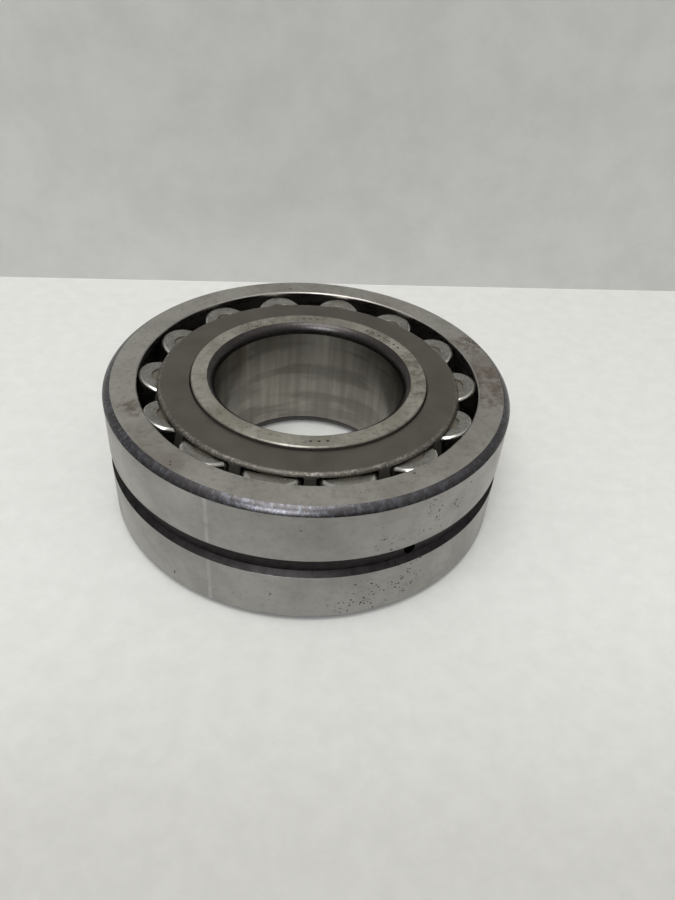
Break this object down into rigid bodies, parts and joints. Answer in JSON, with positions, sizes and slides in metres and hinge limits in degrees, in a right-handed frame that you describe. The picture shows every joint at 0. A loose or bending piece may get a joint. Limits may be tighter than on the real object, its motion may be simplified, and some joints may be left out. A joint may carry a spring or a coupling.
{
  "type": "spherical roller bearing",
  "caption": "Double-row self-aligning spherical roller bearing with a straight bore, pressed window cages, and an outer lubrication groove with radial holes.",
  "frame": {"origin": "centre of the bearing: on its axis, midway between its side faces, and the centre of the outer raceway's sphere", "axes": "+Z along the bearing's axis; +X is the axis of the self_align hinge"},
  "size_m": [0.17, 0.17, 0.058],
  "materials": {
    "outer_ring_steel": "ground bearing steel, satin, lightly stained, with dark turned corners",
    "inner_ring_steel": "ground bearing steel, satin, yellowish and pitted",
    "roller_steel": "ground barrel, turned end faces",
    "cage_steel": "pressed steel sheet, matt dark surface treatment",
    "guide_ring_steel": "sintered or turned steel, matt"
  },
  "bodies": {
    "outer_ring": {"outer_ring": "outer_ring_steel"},
    "guide_ring": {"guide_ring": "guide_ring_steel"},
    "inner_ring": {"inner_ring": "inner_ring_steel"},
    "cage_upper": {"cage_upper": "cage_steel"},
    "cage_lower": {"cage_lower": "cage_steel"},
    "roller_upper_01": {"roller_upper_01": "roller_steel"},
    "roller_upper_02": {"roller_upper_02": "roller_steel"},
    "roller_upper_03": {"roller_upper_03": "roller_steel"},
    "roller_upper_04": {"roller_upper_04": "roller_steel"},
    "roller_upper_05": {"roller_upper_05": "roller_steel"},
    "roller_upper_06": {"roller_upper_06": "roller_steel"},
    "roller_upper_07": {"roller_upper_07": "roller_steel"},
    "roller_upper_08": {"roller_upper_08": "roller_steel"},
    "roller_upper_09": {"roller_upper_09": "roller_steel"},
    "roller_upper_10": {"roller_upper_10": "roller_steel"},
    "roller_upper_11": {"roller_upper_11": "roller_steel"},
    "roller_upper_12": {"roller_upper_12": "roller_steel"},
    "roller_upper_13": {"roller_upper_13": "roller_steel"},
    "roller_upper_14": {"roller_upper_14": "roller_steel"},
    "roller_lower_01": {"roller_lower_01": "roller_steel"},
    "roller_lower_02": {"roller_lower_02": "roller_steel"},
    "roller_lower_03": {"roller_lower_03": "roller_steel"},
    "roller_lower_04": {"roller_lower_04": "roller_steel"},
    "roller_lower_05": {"roller_lower_05": "roller_steel"},
    "roller_lower_06": {"roller_lower_06": "roller_steel"},
    "roller_lower_07": {"roller_lower_07": "roller_steel"},
    "roller_lower_08": {"roller_lower_08": "roller_steel"},
    "roller_lower_09": {"roller_lower_09": "roller_steel"},
    "roller_lower_10": {"roller_lower_10": "roller_steel"},
    "roller_lower_11": {"roller_lower_11": "roller_steel"},
    "roller_lower_12": {"roller_lower_12": "roller_steel"},
    "roller_lower_13": {"roller_lower_13": "roller_steel"},
    "roller_lower_14": {"roller_lower_14": "roller_steel"}
  },
  "joints": [
    {"name": "self_align", "type": "hinge", "parent": "outer_ring", "child": "guide_ring", "pos_m": [0, 0, 0], "axis": [1, 0, 0], "range_deg": [-3, 3]},
    {"name": "inner_spin", "type": "hinge", "parent": "guide_ring", "child": "inner_ring", "pos_m": [0, 0, 0], "axis": [0, 0, 1], "continuous": true},
    {"name": "cage_upper_spin", "type": "hinge", "parent": "guide_ring", "child": "cage_upper", "pos_m": [0, 0, 0], "axis": [0, 0, 1], "continuous": true},
    {"name": "cage_lower_spin", "type": "hinge", "parent": "guide_ring", "child": "cage_lower", "pos_m": [0, 0, 0], "axis": [0, 0, 1], "continuous": true},
    {"name": "roller_upper_01_spin", "type": "hinge", "parent": "cage_upper", "child": "roller_upper_01", "pos_m": [0.06325, 0.0021, 0.01473], "axis": [-0.2265, -0.0075, 0.974], "continuous": true},
    {"name": "roller_upper_02_spin", "type": "hinge", "parent": "cage_upper", "child": "roller_upper_02", "pos_m": [0.05608, 0.02933, 0.01473], "axis": [-0.2008, -0.1051, 0.974], "continuous": true},
    {"name": "roller_upper_03_spin", "type": "hinge", "parent": "cage_upper", "child": "roller_upper_03", "pos_m": [0.0378, 0.05076, 0.01473], "axis": [-0.1354, -0.1818, 0.974], "continuous": true},
    {"name": "roller_upper_04_spin", "type": "hinge", "parent": "cage_upper", "child": "roller_upper_04", "pos_m": [0.01203, 0.06213, 0.01473], "axis": [-0.0431, -0.2225, 0.974], "continuous": true},
    {"name": "roller_upper_05_spin", "type": "hinge", "parent": "cage_upper", "child": "roller_upper_05", "pos_m": [-0.01612, 0.0612, 0.01473], "axis": [0.0577, -0.2192, 0.974], "continuous": true},
    {"name": "roller_upper_06_spin", "type": "hinge", "parent": "cage_upper", "child": "roller_upper_06", "pos_m": [-0.04108, 0.04814, 0.01473], "axis": [0.1471, -0.1724, 0.974], "continuous": true},
    {"name": "roller_upper_07_spin", "type": "hinge", "parent": "cage_upper", "child": "roller_upper_07", "pos_m": [-0.0579, 0.02555, 0.01473], "axis": [0.2074, -0.0915, 0.974], "continuous": true},
    {"name": "roller_upper_08_spin", "type": "hinge", "parent": "cage_upper", "child": "roller_upper_08", "pos_m": [-0.06325, -0.0021, 0.01473], "axis": [0.2265, 0.0075, 0.974], "continuous": true},
    {"name": "roller_upper_09_spin", "type": "hinge", "parent": "cage_upper", "child": "roller_upper_09", "pos_m": [-0.05608, -0.02933, 0.01473], "axis": [0.2008, 0.1051, 0.974], "continuous": true},
    {"name": "roller_upper_10_spin", "type": "hinge", "parent": "cage_upper", "child": "roller_upper_10", "pos_m": [-0.0378, -0.05076, 0.01473], "axis": [0.1354, 0.1818, 0.974], "continuous": true},
    {"name": "roller_upper_11_spin", "type": "hinge", "parent": "cage_upper", "child": "roller_upper_11", "pos_m": [-0.01203, -0.06213, 0.01473], "axis": [0.0431, 0.2225, 0.974], "continuous": true},
    {"name": "roller_upper_12_spin", "type": "hinge", "parent": "cage_upper", "child": "roller_upper_12", "pos_m": [0.01612, -0.0612, 0.01473], "axis": [-0.0577, 0.2192, 0.974], "continuous": true},
    {"name": "roller_upper_13_spin", "type": "hinge", "parent": "cage_upper", "child": "roller_upper_13", "pos_m": [0.04108, -0.04814, 0.01473], "axis": [-0.1471, 0.1724, 0.974], "continuous": true},
    {"name": "roller_upper_14_spin", "type": "hinge", "parent": "cage_upper", "child": "roller_upper_14", "pos_m": [0.0579, -0.02555, 0.01473], "axis": [-0.2074, 0.0915, 0.974], "continuous": true},
    {"name": "roller_lower_01_spin", "type": "hinge", "parent": "cage_lower", "child": "roller_lower_01", "pos_m": [0.0612, 0.01612, -0.01473], "axis": [0.2192, 0.0577, 0.974], "continuous": true},
    {"name": "roller_lower_02_spin", "type": "hinge", "parent": "cage_lower", "child": "roller_lower_02", "pos_m": [0.04814, 0.04108, -0.01473], "axis": [0.1724, 0.1471, 0.974], "continuous": true},
    {"name": "roller_lower_03_spin", "type": "hinge", "parent": "cage_lower", "child": "roller_lower_03", "pos_m": [0.02555, 0.0579, -0.01473], "axis": [0.0915, 0.2074, 0.974], "continuous": true},
    {"name": "roller_lower_04_spin", "type": "hinge", "parent": "cage_lower", "child": "roller_lower_04", "pos_m": [-0.0021, 0.06325, -0.01473], "axis": [-0.0075, 0.2265, 0.974], "continuous": true},
    {"name": "roller_lower_05_spin", "type": "hinge", "parent": "cage_lower", "child": "roller_lower_05", "pos_m": [-0.02933, 0.05608, -0.01473], "axis": [-0.1051, 0.2008, 0.974], "continuous": true},
    {"name": "roller_lower_06_spin", "type": "hinge", "parent": "cage_lower", "child": "roller_lower_06", "pos_m": [-0.05076, 0.0378, -0.01473], "axis": [-0.1818, 0.1354, 0.974], "continuous": true},
    {"name": "roller_lower_07_spin", "type": "hinge", "parent": "cage_lower", "child": "roller_lower_07", "pos_m": [-0.06213, 0.01203, -0.01473], "axis": [-0.2225, 0.0431, 0.974], "continuous": true},
    {"name": "roller_lower_08_spin", "type": "hinge", "parent": "cage_lower", "child": "roller_lower_08", "pos_m": [-0.0612, -0.01612, -0.01473], "axis": [-0.2192, -0.0577, 0.974], "continuous": true},
    {"name": "roller_lower_09_spin", "type": "hinge", "parent": "cage_lower", "child": "roller_lower_09", "pos_m": [-0.04814, -0.04108, -0.01473], "axis": [-0.1724, -0.1471, 0.974], "continuous": true},
    {"name": "roller_lower_10_spin", "type": "hinge", "parent": "cage_lower", "child": "roller_lower_10", "pos_m": [-0.02555, -0.0579, -0.01473], "axis": [-0.0915, -0.2074, 0.974], "continuous": true},
    {"name": "roller_lower_11_spin", "type": "hinge", "parent": "cage_lower", "child": "roller_lower_11", "pos_m": [0.0021, -0.06325, -0.01473], "axis": [0.0075, -0.2265, 0.974], "continuous": true},
    {"name": "roller_lower_12_spin", "type": "hinge", "parent": "cage_lower", "child": "roller_lower_12", "pos_m": [0.02933, -0.05608, -0.01473], "axis": [0.1051, -0.2008, 0.974], "continuous": true},
    {"name": "roller_lower_13_spin", "type": "hinge", "parent": "cage_lower", "child": "roller_lower_13", "pos_m": [0.05076, -0.0378, -0.01473], "axis": [0.1818, -0.1354, 0.974], "continuous": true},
    {"name": "roller_lower_14_spin", "type": "hinge", "parent": "cage_lower", "child": "roller_lower_14", "pos_m": [0.06213, -0.01203, -0.01473], "axis": [0.2225, -0.0431, 0.974], "continuous": true}
  ],
  "couplings": [
    {"joint": "cage_upper_spin", "follows": "inner_spin", "ratio": 0.41074},
    {"joint": "cage_lower_spin", "follows": "inner_spin", "ratio": 0.41074},
    {"joint": "roller_upper_01_spin", "follows": "inner_spin", "ratio": -2.6409},
    {"joint": "roller_upper_02_spin", "follows": "inner_spin", "ratio": -2.6409},
    {"joint": "roller_upper_03_spin", "follows": "inner_spin", "ratio": -2.6409},
    {"joint": "roller_upper_04_spin", "follows": "inner_spin", "ratio": -2.6409},
    {"joint": "roller_upper_05_spin", "follows": "inner_spin", "ratio": -2.6409},
    {"joint": "roller_upper_06_spin", "follows": "inner_spin", "ratio": -2.6409},
    {"joint": "roller_upper_07_spin", "follows": "inner_spin", "ratio": -2.6409},
    {"joint": "roller_upper_08_spin", "follows": "inner_spin", "ratio": -2.6409},
    {"joint": "roller_upper_09_spin", "follows": "inner_spin", "ratio": -2.6409},
    {"joint": "roller_upper_10_spin", "follows": "inner_spin", "ratio": -2.6409},
    {"joint": "roller_upper_11_spin", "follows": "inner_spin", "ratio": -2.6409},
    {"joint": "roller_upper_12_spin", "follows": "inner_spin", "ratio": -2.6409},
    {"joint": "roller_upper_13_spin", "follows": "inner_spin", "ratio": -2.6409},
    {"joint": "roller_upper_14_spin", "follows": "inner_spin", "ratio": -2.6409},
    {"joint": "roller_lower_01_spin", "follows": "inner_spin", "ratio": -2.6409},
    {"joint": "roller_lower_02_spin", "follows": "inner_spin", "ratio": -2.6409},
    {"joint": "roller_lower_03_spin", "follows": "inner_spin", "ratio": -2.6409},
    {"joint": "roller_lower_04_spin", "follows": "inner_spin", "ratio": -2.6409},
    {"joint": "roller_lower_05_spin", "follows": "inner_spin", "ratio": -2.6409},
    {"joint": "roller_lower_06_spin", "follows": "inner_spin", "ratio": -2.6409},
    {"joint": "roller_lower_07_spin", "follows": "inner_spin", "ratio": -2.6409},
    {"joint": "roller_lower_08_spin", "follows": "inner_spin", "ratio": -2.6409},
    {"joint": "roller_lower_09_spin", "follows": "inner_spin", "ratio": -2.6409},
    {"joint": "roller_lower_10_spin", "follows": "inner_spin", "ratio": -2.6409},
    {"joint": "roller_lower_11_spin", "follows": "inner_spin", "ratio": -2.6409},
    {"joint": "roller_lower_12_spin", "follows": "inner_spin", "ratio": -2.6409},
    {"joint": "roller_lower_13_spin", "follows": "inner_spin", "ratio": -2.6409},
    {"joint": "roller_lower_14_spin", "follows": "inner_spin", "ratio": -2.6409}
  ]
}
